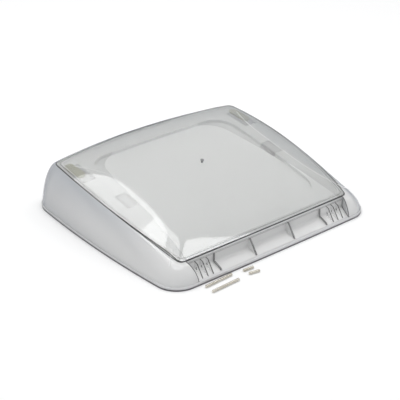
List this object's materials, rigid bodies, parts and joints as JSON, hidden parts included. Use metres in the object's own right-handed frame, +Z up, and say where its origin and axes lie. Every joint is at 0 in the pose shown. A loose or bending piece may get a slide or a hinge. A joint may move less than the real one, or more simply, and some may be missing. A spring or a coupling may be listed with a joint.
{
  "type": "roof window dome",
  "caption": "Wedge-shaped double-skin clear dome of a caravan roof window with a ribbed hinge recess, oval buffers, stay brackets and loose steel hinge pins",
  "frame": {"origin": "middle of the dome's footprint, on the plane that the rim rail stands on (the roof plane)", "axes": "+X along the hinge side, -Y towards the low hinge side, +Y towards the high opening side, +Z up"},
  "size_m": [0.5006, 0.4965, 0.1121],
  "materials": {
    "clear_acrylic": "clear, slightly grey moulded acrylic",
    "tinted_acrylic": "smoke-grey clear acrylic sheet, polished",
    "dark_bond": "dark weld line",
    "plug_plastic": "dark moulded plastic",
    "buffer_plastic": "olive-beige soft plastic",
    "pin_steel": "plain drawn steel rod"
  },
  "bodies": {
    "dome": {"rim_rail": "clear_acrylic", "skirt": "clear_acrylic", "land": "clear_acrylic", "hinge_wall": "clear_acrylic", "hinge_rib_left_outer": "clear_acrylic", "hinge_rib_left_middle": "clear_acrylic", "hinge_rib_left_inner": "clear_acrylic", "hinge_rib_right_outer": "clear_acrylic", "hinge_rib_right_middle": "clear_acrylic", "hinge_rib_right_inner": "clear_acrylic", "outer_pane": "tinted_acrylic", "inner_pane": "clear_acrylic", "pane_bond": "dark_bond", "vent_plug": "plug_plastic", "buffer_left": "buffer_plastic", "buffer_right": "buffer_plastic", "buffer_socket_left": "clear_acrylic", "buffer_socket_right": "clear_acrylic", "bracket_left": "clear_acrylic", "bracket_right": "clear_acrylic"},
    "hinge_pin_left_body": {"hinge_pin_left": "pin_steel"},
    "hinge_pin_right_body": {"hinge_pin_right": "pin_steel"},
    "bracket_pin_left_body": {"bracket_pin_left": "pin_steel"},
    "bracket_pin_right_body": {"bracket_pin_right": "pin_steel"}
  },
  "joints": [
    {"name": "hinge_pin_left_lift", "type": "slide", "parent": "dome", "child": "hinge_pin_left_body", "axis": [0, 0, 1], "range_m": [0, 0.05]},
    {"name": "hinge_pin_right_lift", "type": "slide", "parent": "dome", "child": "hinge_pin_right_body", "axis": [0, 0, 1], "range_m": [0, 0.05]},
    {"name": "bracket_pin_left_lift", "type": "slide", "parent": "dome", "child": "bracket_pin_left_body", "axis": [0, 0, 1], "range_m": [0, 0.05]},
    {"name": "bracket_pin_right_lift", "type": "slide", "parent": "dome", "child": "bracket_pin_right_body", "axis": [0, 0, 1], "range_m": [0, 0.05]}
  ]
}
